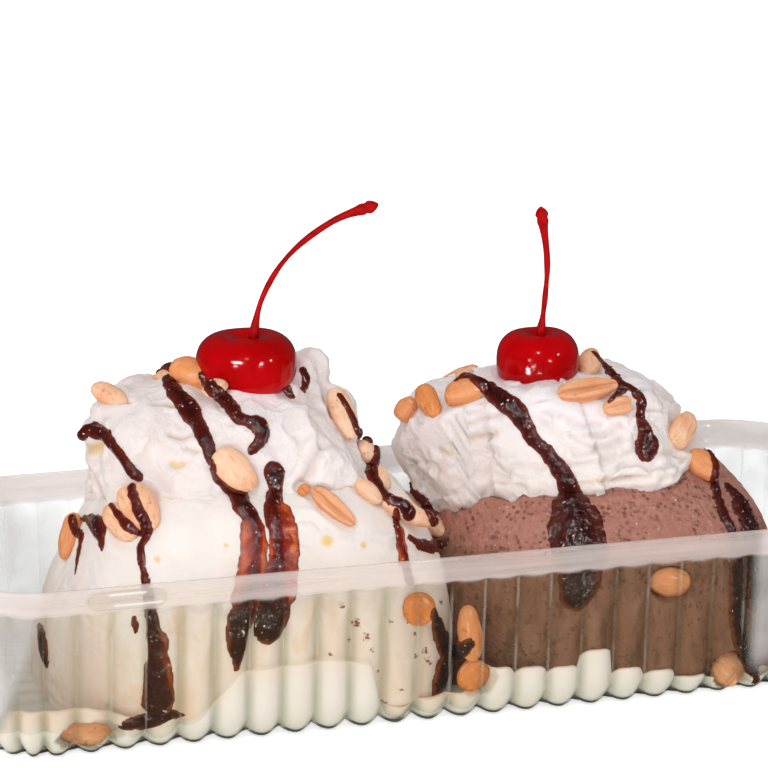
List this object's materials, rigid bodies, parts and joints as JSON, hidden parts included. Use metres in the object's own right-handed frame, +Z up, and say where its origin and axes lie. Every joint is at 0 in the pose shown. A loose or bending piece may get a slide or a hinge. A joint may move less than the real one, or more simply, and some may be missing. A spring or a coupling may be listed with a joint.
{
  "type": "ice cream sundae in a clear boat",
  "caption": "Vanilla and chocolate ice cream mounds with whipped cream, stemmed cherries, split peanuts and dark syrup in a long clear fluted plastic boat.",
  "frame": {"origin": "middle of the underside of the boat", "axes": "+X along the boat, from the vanilla end to the chocolate end, +Y towards its back, +Z up"},
  "size_m": [0.216, 0.088, 0.1099],
  "materials": {
    "clear_plastic": "clear thermoformed plastic with thin bright ribs",
    "melted_ice_cream": "smooth melted vanilla ice cream",
    "vanilla": "soft vanilla ice cream with dark syrup runs",
    "chocolate": "pitted chocolate ice cream",
    "whipped_cream": "folded whipped cream with dark syrup ribbons",
    "cherry": "glossy candied cherry skin",
    "peanut": "toasted split peanut"
  },
  "bodies": {
    "root": {"boat": "clear_plastic", "melted_ice_cream": "melted_ice_cream", "vanilla_scoop": "vanilla", "chocolate_scoop": "chocolate", "whipped_cream_left": "whipped_cream", "whipped_cream_right": "whipped_cream", "cherry_left": "cherry", "cherry_right": "cherry", "peanut_01": "peanut", "peanut_02": "peanut", "peanut_03": "peanut", "peanut_04": "peanut", "peanut_05": "peanut", "peanut_06": "peanut", "peanut_07": "peanut", "peanut_08": "peanut", "peanut_09": "peanut", "peanut_10": "peanut", "peanut_11": "peanut", "peanut_12": "peanut", "peanut_13": "peanut", "peanut_14": "peanut", "peanut_15": "peanut", "peanut_16": "peanut", "peanut_17": "peanut", "peanut_18": "peanut", "peanut_19": "peanut", "peanut_20": "peanut", "peanut_21": "peanut", "peanut_22": "peanut", "peanut_23": "peanut", "peanut_24": "peanut", "peanut_25": "peanut", "peanut_26": "peanut", "peanut_27": "peanut", "peanut_28": "peanut", "peanut_29": "peanut", "peanut_30": "peanut", "peanut_31": "peanut", "peanut_32": "peanut", "peanut_33": "peanut", "peanut_34": "peanut", "peanut_35": "peanut", "peanut_36": "peanut", "peanut_37": "peanut", "peanut_38": "peanut"}
  },
  "joints": []
}
